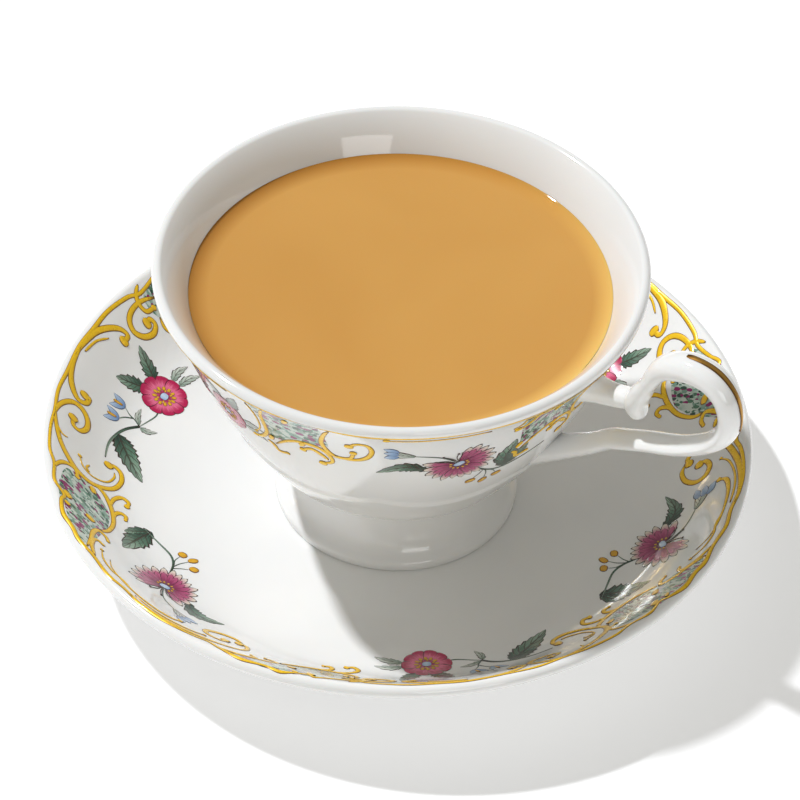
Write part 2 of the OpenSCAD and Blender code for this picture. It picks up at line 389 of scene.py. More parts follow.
def gilding(name, gold=GOLD, deep=GOLD_DEEP, metal=0.22):
    """Burnished gold with a thin brown outline, deeper towards its edges; across the stroke is the UV's x."""
    made, tree, shader = material(name)
    uv = node(tree, "ShaderNodeUVMap").outputs["UV"]
    part = node(tree, "ShaderNodeSeparateXYZ")
    tree.links.new(uv, part.inputs[0])
    off = sums(tree, "ABSOLUTE", sums(tree, "MULTIPLY_ADD", part.outputs["X"], 2.0, -1.0))
    end = sums(tree, "ABSOLUTE", sums(tree, "MULTIPLY_ADD", part.outputs["Y"], 2.0, -1.0))
    place = node(tree, "ShaderNodeTexCoord").outputs["Object"]
    wear = node(tree, "ShaderNodeTexNoise", Scale=420.0, Detail=3.0)
    tree.links.new(place, wear.inputs["Vector"])
    rub = sums(tree, "MULTIPLY_ADD", wear.outputs["Fac"], 0.5, -0.25)
    depth = sums(tree, "ADD", off, rub)
    colour = ramp(tree, depth, [(0.4, gold), (0.9, deep)])
    rim = sums(tree, "MAXIMUM", off, sums(tree, "SUBTRACT", end, 0.12))
    line = ramp(tree, rim, [(0.74, (0, 0, 0)), (0.84, (1, 1, 1))])
    tree.links.new(blended(tree, line, colour, GOLD_LINE), shader.inputs["Base Color"])
    polish = ramp(tree, wear.outputs["Fac"], [(0.3, (0.22, 0.22, 0.22)), (0.7, (0.36, 0.36, 0.36))])
    tree.links.new(polish, shader.inputs["Roughness"])
    shader.inputs["Metallic"].default_value = metal
    shader.inputs["Coat Weight"].default_value = 0.25
    return made


RIM_LINE = [
    (-20, 72.0), (-16, 71.2), (-13.2, 72.1), (-8, 72.7), (-3, 72.6), (2, 72.9), (8, 72.7), (13, 73.1),
    (18, 72.8), (22, 73.2), (27, 73.3), (30.4, 72.6), (34.5, 73.2), (37.8, 72.0), (39.3, 73.0), (42.5, 73.8),
    (46, 73.3), (49, 73.5), (53, 72.8), (58, 73.2), (62, 72.7), (66, 73.2), (70, 73.4), (74, 73.0),
    (77, 72.4), (79.5, 71.6), (82, 72.5), (86, 73.4), (90, 73.0), (93, 73.6), (96.6, 71.9), (98, 72.9),
    (100, 72.0),
]
WAVING = [(0, 0.75), (0.12, 0.95), (0.3, 0.7), (0.5, 1.05), (0.7, 0.8), (0.85, 1.1), (1, 0.75)]
rim_line = brushed(polar(RIM_LINE), WAVING, 0.05, GILT_THICK, across=5, along=190)
for corner in rim_line.data.uv_layers.active.data:
    corner.uv.y = 0.5
gilt_strokes = [rim_line]
for curve in (
    [(-18.2, 69.2), (-15.2, 70.1), (-12.4, 70.0), (-10.4, 69.0), (-9.7, 67.2), (-10.9, 65.5), (-13.1, 64.9),
     (-14.7, 65.8), (-14.4, 67.0), (-13.3, 66.8)],
    [(4.0, 72.7), (1.3, 72.6), (-2.8, 72.0), (-5.4, 70.9), (-7.5, 69.3), (-8.0, 67.6), (-6.4, 67.4)],
    [(1.5, 72.6), (5, 72.5), (8.3, 71.9), (10.7, 70.8), (12.2, 69.2), (11.7, 67.7), (10.2, 67.4),
     (10.3, 68.3)],
    [(19.5, 72.8), (17.2, 72.5), (15.2, 71.6), (13.6, 69.9), (13.6, 68.0), (15.1, 66.6), (17.2, 66.4),
     (18.8, 67.5), (18.6, 68.9), (17.0, 69.2)],
    [(17.0, 72.8), (19.5, 72.4), (22.1, 71.8), (24.7, 70.9), (27.1, 69.6), (29.2, 68.0), (30.5, 65.5),
     (30.2, 62.8), (28.9, 60.3), (26.3, 58.8), (23.8, 58.9), (22.6, 60.2), (23.0, 61.4)],
    [(80.6, 61.6), (78.6, 60.9), (76, 61.7), (74.4, 63.8), (75.0, 65.7), (76.9, 66.4), (78.7, 65.6),
     (78.6, 64.4)],
    [(63.5, 72.9), (66, 73.2), (69.2, 73.0), (73, 72.3), (76.4, 71.2), (79.9, 69.6), (82.5, 67.2),
     (83.0, 64.4), (81.9, 62.3), (80.4, 62.4)],
):
    gilt_strokes += scrolled(curve)
gilt_strokes += scrolled(
    [(53.2, 69.2), (55.9, 70.5), (60, 71.0), (63.8, 71.0), (67.9, 70.8), (70.8, 70.0), (71.6, 68.5)],
    [(0, 0.15), (0.4, 0.45), (0.8, 1.1), (1, 0.7)], 1.2,
)
for curve, ball in (
    ([(24.5, 60.2), (25.9, 60.3), (27.8, 61.6), (28.5, 63.4), (28.3, 65.3), (27.0, 66.7), (25.0, 67.2)], 0.9),
    ([(27.8, 65.4), (26.9, 65.9), (25.9, 65.3)], 0.0),
    ([(64.7, 71.0), (62.2, 71.0), (59.3, 70.6), (56.7, 71.2), (53.4, 70.8), (50.6, 69.4)], 0.8),
    ([(64.0, 72.0), (68.2, 72.0), (71.7, 71.5), (75.2, 70.2), (76.9, 68.6)], 0.7),
    ([(20.8, 72.0), (22.2, 70.9), (22.4, 69.7)], 0.0),
    ([(2.0, 71.6), (-1.5, 71.0), (-4.2, 69.6)], 0.0),
):
    gilt_strokes += scrolled(curve, THIN, ball)
for flip in (False, True):
    for curve, ball in (
        ([(31.0, 66.2), (30.6, 64.2), (32.2, 62.6), (35.9, 61.9), (40.0, 62.6), (43.1, 64.7),
          (44.0, 66.6)], 0),
        ([(31.2, 72.6), (29.8, 71.6), (28.9, 70.0), (29.3, 68.3), (31.1, 68.0)], 1.2),
        ([(34.8, 62.0), (32.4, 60.9), (31.1, 59.1), (32.2, 57.8), (33.5, 58.3)], 1.3),
        ([(38.4, 62.2), (36.8, 61.4), (36.0, 60.2), (36.7, 59.2), (37.9, 59.5)], 0.8),
        ([(50.6, 72.6), (48.3, 70.6), (45.6, 68.8), (44.3, 67.2), (45.4, 66.1), (46.9, 66.2)], 0.8),
        ([(53.0, 72.4), (50.2, 71.4), (48.2, 70.1), (47.7, 68.8), (48.8, 68.1)], 0.6),
    ):
        gilt_strokes += scrolled(curve, SCROLL, ball, mirrored=flip, scale=0.85)
    for x, y, size in ((37.4, 71.2, 2.0), (32.4, 65.1, 1.7), (41.5, 67.8, 1.9), (39.8, 71.9, 1.3)):
        (spot,) = polar([(x, y)], flip)
        gilt_strokes.append(dab(*spot, size * 1.2, size * 0.85, 0.1, turn_by=50 + 3 * x, crown=0.22))


def laid_on_saucer(piece):
    """Millimetres in the flat become metres on the saucer's face."""
    for vertex in piece.data.vertices:
        x, y, rise = vertex.co
        vertex.co = (MM * x, MM * y, MM * (rise + look_up(saucer_face, hypot(x, y), 1)))
    piece.data.update()
    return piece


def round_the_saucer(name, piece):
    """Three copies a third of a turn apart, as one piece."""
    copies = [piece]
    for turns in (1, 2):
        other = copied(piece)
        bpy.ops.object.mode_set(mode="EDIT")
        bpy.ops.mesh.select_all(action="SELECT")
        bpy.ops.transform.rotate(
            value=-radians(PATTERN_TURN * turns), orient_axis="Z", orient_type="GLOBAL",
            center_override=(0, 0, 0)
        )
        bpy.ops.object.mode_set(mode="OBJECT")
        copies.append(other)
    return joined(name, copies)


def finished(piece, paint):
    """Smooth shading, the finish, and its place in the frame."""
    bpy.ops.object.select_all(action="DESELECT")
    piece.select_set(True)
    bpy.context.view_layer.objects.active = piece
    bpy.ops.object.shade_smooth_by_angle(angle=radians(40))
    piece.data.materials.clear()
    piece.data.materials.append(paint)
    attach(piece, "root")
    return piece


saucer_gilding = laid_on_saucer(round_the_saucer("saucer_gilding", joined("gilt_pattern", gilt_strokes)))
gilt = gilding("burnished_gold")
finished(saucer_gilding, gilt)

# ---- Saucer's mosaic panels ---------------------------------------------------------------------
# Between the sprigs, six gilt frames hold a ground of pale grey green, stippled with slanting dabs of
# dark green and magenta enamel.
GROUND, GROUND_DEEP = (0.60, 0.68, 0.61), (0.20, 0.36, 0.28)
DAB_GREEN, DAB_DARK, DAB_MAGENTA = (0.07, 0.18, 0.11), (0.02, 0.07, 0.045), (0.27, 0.012, 0.13)


def mosaic(name):
    """Stippled enamel: slanting cells of four colours over a mottled ground."""
    made, tree, shader = material(name)
    place = node(tree, "ShaderNodeTexCoord").outputs["Object"]
    slant = node(tree, "ShaderNodeMapping")
    slant.inputs["Rotation"].default_value = (0, 0.4, radians(40))
    slant.inputs["Scale"].default_value = (0.8, 2.0, 1.2)
    tree.links.new(place, slant.inputs["Vector"])
    blur = node(tree, "ShaderNodeTexNoise", Scale=300.0, Detail=2.0)
    cells = node(tree, "ShaderNodeTexVoronoi", Scale=700.0)
    tree.links.new(place, blur.inputs["Vector"])
    tree.links.new(slant.outputs[0], cells.inputs["Vector"])
    ground = ramp(tree, blur.outputs["Fac"], [(0.4, GROUND_DEEP), (0.6, GROUND)])
    pick = node(tree, "ShaderNodeSeparateColor")
    tree.links.new(cells.outputs["Color"], pick.inputs[0])
    drift = sums(tree, "MULTIPLY_ADD", blur.outputs["Fac"], 0.8, sums(tree, "ADD", pick.outputs[0], -0.4))
    stipple = ramp(
        tree, drift,
        [(0.0, GROUND), (0.34, DAB_GREEN), (0.52, GROUND_DEEP), (0.62, DAB_DARK), (0.76, DAB_MAGENTA)],
        "CONSTANT",
    )
    shape = sums(tree, "LESS_THAN", cells.outputs["Distance"], 0.6)
    tree.links.new(blended(tree, shape, ground, stipple), shader.inputs["Base Color"])
    shader.inputs["Roughness"].default_value = 0.16
    shader.inputs["Coat Weight"].default_value = 0.4
    return made


panel_widths = [
    (0, 0.5), (0.08, 4.8), (0.2, 8.4), (0.36, 10.2), (0.55, 9.4), (0.75, 5.8), (0.9, 2.8), (1, 0.4),
]
panel_line = [
    (30.2, 70.0), (33.0, 68.4), (36.5, 67.8), (40.0, 68.6), (44.0, 70.2), (47.5, 71.5), (50.0, 72.3),
]
panels = [
    brushed(polar(panel_line, flip), panel_widths, 0.03, 0.02, across=10, along=30) for flip in (False, True)
]
saucer_panels = laid_on_saucer(round_the_saucer("saucer_panels", joined("panel_pattern", panels)))
stippling = mosaic("stippled_enamel")
finished(saucer_panels, stippling)

# ---- Saucer's flower sprigs ---------------------------------------------------------------------
# Overglaze enamels with fine brown outlines. Three sprigs carry a pink five-petalled rose with blue
# bells, and three a carnation with berries; each is drawn once in the flat, with the rim upwards.
BROWN = (0.045, 0.022, 0.016)


def enamel(
    name, inner, middle, outer, streak=0.5, veins=0.0, outline=0.84, line=BROWN, places=(0.1, 0.5, 0.9),
):
    """Painted enamel shaded along the stroke, with streaks or veins and a dark outline."""
    made, tree, shader = material(name)
    uv = node(tree, "ShaderNodeUVMap").outputs["UV"]
    part = node(tree, "ShaderNodeSeparateXYZ")
    tree.links.new(uv, part.inputs[0])
    off = sums(tree, "ABSOLUTE", sums(tree, "MULTIPLY_ADD", part.outputs["X"], 2.0, -1.0))
    stretch = node(tree, "ShaderNodeMapping")
    stretch.inputs["Scale"].default_value = (9.0, 1.6, 1.0)
    tree.links.new(uv, stretch.inputs["Vector"])
    strokes = node(tree, "ShaderNodeTexNoise", Scale=1.6, Detail=3.0)
    tree.links.new(stretch.outputs[0], strokes.inputs["Vector"])
    shifted = sums(tree, "ADD", part.outputs["Y"], -streak / 2)
    along = sums(tree, "MULTIPLY_ADD", strokes.outputs["Fac"], streak, shifted)
    colour = ramp(tree, along, list(zip(places, (inner, middle, outer))))
    if veins:
        rise = sums(tree, "MULTIPLY_ADD", off, -1.6, sums(tree, "MULTIPLY", part.outputs["Y"], veins))
        vein = sums(tree, "GREATER_THAN", sums(tree, "SINE", sums(tree, "MULTIPLY", rise, 2 * pi)), 0.8)
        rib = sums(tree, "LESS_THAN", off, 0.09)
        half = sums(tree, "GREATER_THAN", part.outputs["X"], 0.5)
        colour = blended(tree, sums(tree, "MULTIPLY", half, 0.45), colour, inner)
        colour = blended(tree, sums(tree, "MULTIPLY", sums(tree, "MAXIMUM", vein, rib), 0.7), colour, line)
    end = sums(tree, "ABSOLUTE", sums(tree, "MULTIPLY_ADD", part.outputs["Y"], 2.0, -1.0))
    rim = sums(tree, "MAXIMUM", off, sums(tree, "SUBTRACT", end, 0.1))
    drawn = sums(tree, "GREATER_THAN", rim, outline)
    tree.links.new(blended(tree, drawn, colour, line), shader.inputs["Base Color"])
    shader.inputs["Roughness"].default_value = 0.16
    shader.inputs["Coat Weight"].default_value = 0.4
    return made


LEAF_SHAPE = [(0, 0.1), (0.12, 0.55), (0.3, 0.95), (0.45, 1.0), (0.65, 0.8), (0.85, 0.36), (1, 0.02)]
PETAL_SHAPE = [(0, 0.3), (0.3, 0.72), (0.6, 0.96), (0.78, 1.0), (0.9, 0.82), (0.97, 0.5), (1, 0.25)]
SPIKE_SHAPE = [(0, 0.25), (0.4, 0.78), (0.64, 1.0), (0.8, 0.74), (0.92, 0.3), (1, 0.02)]


def scaled(shape, width):
    """A leaf's or petal's outline at its width."""
    return [(t, width * w) for t, w in shape]


def leaf(points, width, top=0.05, teeth=6):
    """A toothed leaf, from its stalk to its tip."""
    return brushed(points, scaled(LEAF_SHAPE, width), top, 0.03, across=6, along=36, teeth=teeth, bite=0.28)


def stem(points, width=0.34, top=0.06):
    """A stalk that thins towards its end."""
    table = [(0, width), (0.7, 0.8 * width), (1, 0.4 * width)]
    return brushed(points, table, top, 0.03, across=2, along=6 * len(points))


def fanned(x, y, petals, top, shape, teeth=0, bite=0.0):
    """Petals round a heart; each is (direction, length, width), and later ones lie over earlier ones."""
    made = []
    for i, (direction, length, width) in enumerate(petals):
        way = Vector((cos(radians(direction)), sin(radians(direction))))
        start = Vector((x, y)) + 0.4 * way
        made.append(
            brushed([start, start + 0.5 * length * way, start + length * way], scaled(shape, width),
                    top + 0.012 * (i % 3), 0.03, across=8, along=16, teeth=teeth, bite=bite)
        )
    return made


rose_petals = [(90 + 72 * i + lobe, 4.8, 3.2) for i in range(5) for lobe in (-17, 17)]
rose_sprig = {
    "rose_petals": fanned(0, 0, rose_petals, 0.08, PETAL_SHAPE),
    "green_leaves": [
        leaf([(2.3, 3.6), (3.7, 6.0), (5.6, 9.6)], 3.8), leaf([(-0.8, 4.0), (-2.2, 6.6), (-3.7, 9.5)], 4.0),
        leaf([(-15.6, 4.9), (-20.1, 2.2), (-27.0, -1.2)], 5.6, teeth=9),
        stem([(-4.3, -0.6), (-6.6, -0.5), (-10.9, 1.5)]),
        stem([(-10.9, 1.5), (-9.8, 2.9), (-9.3, 4.2), (-8.2, 5.6)], 0.3),
        stem([(-9.6, 3.2), (-10.6, 4.8), (-11.8, 5.8)], 0.3),
        stem([(-10.9, 1.5), (-13.0, 3.6), (-15.6, 5.1), (-19.2, 6.3), (-23.3, 6.6)], 0.65),
    ],
    "pale_leaves": [
        leaf([(5.0, 0.6), (7.6, 1.2), (10.6, 0.6)], 2.3, teeth=4),
        leaf([(4.9, -1.0), (7.8, -1.5), (10.8, -2.8)], 2.4, teeth=4),
        leaf([(-10.6, 1.7), (-8.6, 2.6), (-6.2, 2.7)], 1.6, teeth=3),
        leaf([(-11.1, 1.3), (-11.4, -0.4), (-10.6, -2.4)], 1.9, teeth=3),
    ],
    "blue_bells": [
        brushed([(x, y), (x - 0.2 + dx, y + 1.4), (x - 0.4 + 2.0 * dx, y + 2.9)], scaled(LEAF_SHAPE, 1.5),
            0.07 + 0.01 * i, 0.03, along=14)
        for x, y in ((-8.2, 5.5), (-11.8, 5.7)) for i, dx in enumerate((-0.75, 0.7))
    ],
    "yellow_dabs": [
        dab(2.1 * cos(radians(a)), 2.1 * sin(radians(a)), 1.1, 0.85, 0.13, a) for a in range(0, 360, 30)
    ]
    + [dab(1.5 * cos(radians(a)), 1.5 * sin(radians(a)), 0.7, 0.5, 0.13, a) for a in range(18, 360, 60)]
    + [dab(x, y, 2.0, 0.7, 0.11, 98) for x, y in ((-8.45, 7.0), (-12.05, 7.2))],
    "blue_hearts": [dab(0, 0, 1.9, 1.9, 0.14)],
}
carnation_petals = [
    (171, 7.6, 2.7), (62, 7.8, 2.7), (190, 7.4, 2.8), (44, 7.5, 2.8), (208, 7.6, 2.8), (26, 7.7, 2.8),
    (226, 7.2, 2.7), (8, 7.8, 2.8), (245, 7.3, 2.7), (350, 7.8, 2.8), (264, 6.4, 2.6), (332, 7.7, 2.8),
    (282, 6.8, 2.7), (314, 7.6, 2.8), (298, 7.0, 2.7), (76, 6.6, 2.4),
]
carnation_sprig = {
    "ruffled_tips": fanned(0, 0, carnation_petals, 0.06, SPIKE_SHAPE, teeth=3, bite=0.25),
    "carnation_petals": fanned(0, 0, [(a, 0.74 * l, 0.8 * w) for a, l, w in carnation_petals], 0.10,
        SPIKE_SHAPE, teeth=2, bite=0.2),
    "green_leaves": [
        leaf([(-6.4, -1.6), (-10.0, 0.2), (-13.2, -0.2), (-17.4, -2.6)], 4.4, teeth=6),
        stem([(-0.8, 1.2), (-4.6, 3.9), (-9.8, 5.2)], 0.42),
        stem([(4.4, -3.8), (7.6, -6.4), (11.4, -7.4), (16.4, -6.3), (22.0, -4.4)], 0.6),
        stem([(6.4, -5.6), (5.8, -7.4), (4.8, -9.0)], 0.3),
        stem([(7.0, -6.2), (7.6, -8.2), (7.6, -10.4)], 0.3),
        stem([(7.6, -6.6), (9.2, -7.6), (10.2, -9.2)], 0.3),
    ],
    "pale_leaves": [brushed([(-9.4, 5.1), (-11.2, 5.6), (-13.4, 6.0)], [(0, 0.7), (0.5, 2.2), (1, 3.4)],
        0.06, 0.04, along=10)],
    "blue_bells": [
        brushed([(-12.6, y0), (-14.2, (y0 + y1) / 2 + 0.1), (-15.6, y1)], scaled(LEAF_SHAPE, 2.0),
            0.08 + 0.01 * i, 0.03, along=12)
        for i, (y0, y1) in enumerate(((7.0, 8.6), (5.1, 4.4), (6.1, 6.6)))
    ],
    "yellow_dabs": [
        dab(x, y, 2.6, 2.0, 0.08, turned_by)
        for x, y, turned_by in ((4.2, -10.2, 20), (7.6, -11.6, 60), (10.7, -10.2, 15))
    ]
    + [dab(1.9 * cos(radians(a)), 1.6 * sin(radians(a)), 0.7, 0.6, 0.15, a) for a in range(170, 400, 32)],
    "blue_hearts": [dab(0, 0.1, 2.5, 1.8, 0.15, 30)],
    "brown_lines": [
        stem([(-0.2, 0.6), (-1.6, 2.4), (-3.4, 3.6)], 0.22, 0.17),
        stem([(0.0, 0.8), (-0.8, 2.8), (-0.6, 4.4)], 0.22, 0.17),
        stem([(-0.3, 0.3), (-2.6, 1.6), (-4.4, 1.9)], 0.22, 0.17), dab(-3.6, 3.7, 0.6, 0.5, 0.17),
        dab(-0.6, 4.5, 0.6, 0.5, 0.17),
    ],
}
SPRIG_PAINTS = {
    "rose_petals": enamel("pink_enamel", (0.36, 0.012, 0.085), (0.80, 0.17, 0.31), (0.46, 0.006, 0.075),
                          streak=0.6, outline=0.84, line=(0.14, 0.003, 0.028), places=(0.16, 0.5, 0.8)),
    "ruffled_tips": enamel("ivory_enamel", (0.30, 0.02, 0.11), (0.56, 0.16, 0.28), (0.74, 0.66, 0.56),
                            streak=0.3, outline=0.74, places=(0.3, 0.66, 0.84)),
    "carnation_petals": enamel("magenta_enamel", (0.09, 0.004, 0.035), (0.30, 0.02, 0.11),
                                (0.50, 0.10, 0.22), streak=0.9, outline=0.76, line=(0.07, 0.004, 0.025)),
    "green_leaves": enamel("green_enamel", (0.014, 0.045, 0.030), (0.11, 0.22, 0.15), (0.34, 0.46, 0.36),
                           streak=0.9, veins=7.0, outline=0.84),
    "pale_leaves": enamel("sage_enamel", (0.26, 0.36, 0.29), (0.56, 0.62, 0.55), (0.70, 0.72, 0.66),
        streak=0.4, veins=4.0, outline=0.8),
    "blue_bells": enamel("blue_enamel", (0.16, 0.27, 0.5), (0.3, 0.45, 0.68), (0.5, 0.62, 0.8),
                         streak=0.6, outline=0.78, line=(0.05, 0.08, 0.16)),
    "yellow_dabs": enamel("yellow_enamel", (0.55, 0.26, 0.01), (0.76, 0.42, 0.02), (0.68, 0.34, 0.012),
        outline=0.74, line=(0.16, 0.06, 0.01)),
    "blue_hearts": enamel("pale_blue_enamel", (0.3, 0.45, 0.68), (0.55, 0.66, 0.8), (0.4, 0.52, 0.74),
        outline=0.86),
    "brown_lines": enamel("brown_enamel", BROWN, (0.08, 0.04, 0.02), BROWN, outline=0.9),
}
near_leaves = [leaf([(12.2, -7.2), (11.0, -3.0), (11.6, 0.2), (12.2, 4.0)], 6.4, teeth=5),
               leaf([(12.4, -6.6), (14.6, -3.0), (16.2, -0.4)], 3.6, teeth=4)]
far_leaves = [leaf([(20.6, -5.8), (18.2, -2.4), (16.4, 0.0), (13.6, 3.4)], 7.6, teeth=6),
              leaf([(20.6, -5.6), (20.6, -2.2), (20.0, 0.8)], 4.0, teeth=4)]
rose_sprig = {colour: joined("rose_" + colour, strokes) for colour, strokes in rose_sprig.items()}
carnation_sprig = {
    colour: joined("carnation_" + colour, strokes) for colour, strokes in carnation_sprig.items()
}
near_leaves, far_leaves = joined("near_leaves", near_leaves), joined("far_leaves", far_leaves)


def set_on_saucer(piece, angle, radius, scale):
    """A copy of a flat motif, carried to its place round the saucer, still in the flat."""
    piece = copied(piece)
    for vertex in piece.data.vertices:
        x, y, rise = vertex.co
        around, out = radians(angle) - scale * x / radius, radius + scale * y
        vertex.co = (out * cos(around), out * sin(around), rise)
    return piece


ROSE_AT, ROSE_R, CARNATION_AT, CARNATION_R = -2.8, 55.6, 58.5, 60.0
on_saucer = {}
for sprig, at, radius, scale in (
    (rose_sprig, ROSE_AT, ROSE_R, 1.0), (carnation_sprig, CARNATION_AT, CARNATION_R, 0.9),
):
    for colour, piece in sprig.items():
        for third in range(3):
            placed = set_on_saucer(piece, PATTERN_START + at + PATTERN_TURN * third, radius, scale)
            on_saucer.setdefault(colour, []).append(placed)
for third in range(3):
    at = PATTERN_START + CARNATION_AT + PATTERN_TURN * third
    on_saucer["green_leaves"].append(set_on_saucer(far_leaves, at, CARNATION_R, 0.9))
for colour, copies in on_saucer.items():
    piece = laid_on_saucer(joined("saucer_" + colour, copies))
    finished(piece, SPRIG_PAINTS[colour])

# ---- Cup ----------------------------------------------------------------------------------------
# Slip-cast porcelain: a bowl that swells from a beaded waist to a flared rim with a round lip, over a
# hollow trumpet foot with a plain band. Low moulded petals overlap round the lower bowl.
CUP_Z = WELL_H
RIM_R, CUP_H, LIP_R, CUP_WALL = 50.4, 64.0, 1.2, 4.0
BASE_R, BAND_H, WAIST_R, WAIST_H, BEAD_R = 25.9, 2.0, 22.0, 12.6, 0.9
BELLY, BELLY_LEAN, SHOULDER, SHOULDER_LEAN = Vector((30.6, 21.4)), 33, Vector((44.2, 48.2)), 19
RIM_LEAN, INNER_RIM_LEAN = 31, 46
FLOOR_H, FLOOR_T, FOOT_W = 18.0, 3.6, 2.8
PETALS, PETAL_RISE, PETAL_AT, PETAL_DEEP, PETAL_TURN = 8, 2.6, 29.6, 0.5, 300
lip_centre = Vector((RIM_R - LIP_R, CUP_H - LIP_R))
lip = rounding(lip_centre, LIP_R, -RIM_LEAN, 180 - INNER_RIM_LEAN, 16)
bowl_outside = [
    *sweep((WAIST_R, WAIST_H + BEAD_R), 76, BELLY, BELLY_LEAN, 14),
    *sweep(BELLY, BELLY_LEAN, SHOULDER, SHOULDER_LEAN, 34)[1:],
    *sweep(SHOULDER, SHOULDER_LEAN, lip[0], RIM_LEAN, 12)[1:],
]
foot_outside = [
    Vector((BASE_R - FOOT_W, 0.0)), Vector((BASE_R - 0.5, 0.0)), Vector((BASE_R - 0.12, 0.15)),
    Vector((BASE_R, 0.5)), Vector((BASE_R, BAND_H - 0.3)), Vector((BASE_R - 0.12, BAND_H)),
    *sweep((BASE_R - 0.5, BAND_H + 0.4), -62, (WAIST_R, WAIST_H - BEAD_R), 0, 14),
    *rounding((WAIST_R, WAIST_H), BEAD_R, -78, 78, 8),
]
inner_belly = Vector((BELLY[0] - CUP_WALL / cos(radians(BELLY_LEAN)), BELLY[1] + CUP_WALL))
inner_shoulder = Vector((SHOULDER[0] - CUP_WALL / cos(radians(SHOULDER_LEAN)), SHOULDER[1]))
cup_inside = [
    *sweep((0, FLOOR_H), 90, inner_belly, BELLY_LEAN + 14, 16),
    *sweep(inner_belly, BELLY_LEAN + 14, inner_shoulder, SHOULDER_LEAN, 16)[1:],
    *sweep(inner_shoulder, SHOULDER_LEAN, lip[-1], INNER_RIM_LEAN, 12)[1:],
]
hollow_waist = Vector((WAIST_R - CUP_WALL, WAIST_H - 2))
foot_inside = [
    *sweep((0, FLOOR_H - FLOOR_T), 90, hollow_waist, 180, 12),
    *sweep(hollow_waist, 180, (BASE_R - FOOT_W, 0.4), 128, 12)[1:],
]
cup_profile = foot_inside + foot_outside + bowl_outside + lip[1:-1] + cup_inside[::-1]
cup_body = turned("cup_body", [Vector((r, h + CUP_Z)) for r, h in cup_profile], 256)


def eased(share):
    """A share from 0 to 1, slow at both ends."""
    share = max(0.0, min(1.0, share))
    return share * share * (3 - 2 * share)


def petal_relief(around, height):
    """How far the moulded petals stand out of the lower bowl, at an angle and a height."""
    wave = abs(sin(PETALS / 2 * (around - radians(PETAL_TURN))))
    top_edge = PETAL_AT + PETAL_RISE * (1 - wave) ** 1.3
    swell = 0.55 + 0.45 * wave ** 0.7
    return PETAL_DEEP * swell * eased((top_edge - height) / 1.0 + 0.5) * eased((height - WAIST_H - 1.2) / 5)


for vertex in cup_body.data.vertices:
    x, y, z = vertex.co / MM
    radius, height = hypot(x, y), z - CUP_Z
    if WAIST_H + BEAD_R < height < 40 and radius > look_up(bowl_outside, height) - 0.5:
        out = 1 + petal_relief(atan2(y, x), height) / radius
        vertex.co = (MM * x * out, MM * y * out, MM * z)
cup_body.data.update()
cup_body.data.materials.append(glaze("cup_glaze"))
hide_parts("cup")
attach(cup_body, "root")

# ---- Handle -------------------------------------------------------------------------------------
# A cast loop stuck to the bowl with slip: a scroll that hangs inside rises to a crown above the rim,
# turns down to a crest for the thumb and runs into the belly; a short neck joins it under the lip.
REACH, RISE, CROWN_T, ARM_T = 30.4, 12.2, 5.6, 4.3
span = Vector((REACH - ARM_T / 2, RISE - CROWN_T / 2))


def loop_point(across, up):
    """Place on the loop, in shares of its span out from the rim and up from it."""
    return Vector((RIM_R + across * span[0], CUP_H + up * span[1]))


arm_top, arm_foot = loop_point(0.39, -1.55), Vector((look_up(bowl_outside, 30) - 2.5, 30.6))
handle_line = [Vector((RIM_R + 0.3 * span[0], CUP_H - 9.6))] + [loop_point(*share) for share in (
    (0.25, -0.66), (0.29, -0.27), (0.345, 0.09), (0.425, 0.58), (0.53, 0.84), (0.67, 1), (0.83, 0.97),
    (0.94, 0.71), (0.99, 0.33), (0.99, -0.04), (0.94, -0.43), (0.83, -0.81), (0.63, -1.23), (0.39, -1.55),
)]
handle_line += [
    arm_top + share * (arm_foot - arm_top) + Vector((0, 1.5 * crest))
    for share, crest in ((0.2, 0.7), (0.32, 1), (0.48, 0.4), (0.74, 0.05), (1, 0))
]
HANDLE_T = [
    (0, 0.8), (0.012, 3.0), (0.045, 4.7), (0.1, 4.2), (0.155, 3.4), (0.215, 4.6), (0.285, 5.45), (0.4, 5.2),
    (0.52, 4.6), (0.65, 4.3), (0.88, 4.3), (0.96, 5.2), (1, 6.4),
]
HANDLE_W = [
    (0, 1.0), (0.015, 3.6), (0.06, 5.4), (0.16, 5.7), (0.3, 6.8), (0.52, 6.3), (0.88, 6.3), (0.96, 7.8),
    (1, 9.4),
]
HANDLE_EDGES = [(0, 2.1), (0.25, 2.2), (0.45, 1.9), (0.62, 1.6), (0.88, 1.6), (1, 2.0)]
neck_line = [Vector((look_up(bowl_outside, 57.2) - 2.2, 55.7)), Vector((52.2, 56.8)), loop_point(0.27, -0.56)]
NECK_TABLE = [(0, 6.6), (0.3, 5.0), (0.6, 4.5), (1, 4.2)]
NECK_W = [(0, 8.6), (0.3, 5.7), (0.7, 4.5), (1, 4.0)]


def smooth_share(table, t):
    """Value at t in a table of (t, value), along a curve with no kinks."""
    for i in range(len(table) - 1):
        (low, a), (high, b) = table[i], table[i + 1]
        if t <= high:
            before, after = table[max(i - 1, 0)], table[min(i + 2, len(table) - 1)]
            span, x = high - low, (t - low) / (high - low)
            start = (b - before[1]) / (high - before[0]) * span
            end = (after[1] - a) / (after[0] - low) * span
            bend, twist = 3 * (b - a) - 2 * start - end, 2 * (a - b) + start + end
            return a + x * start + x * x * bend + x ** 3 * twist
    return table[-1][1]


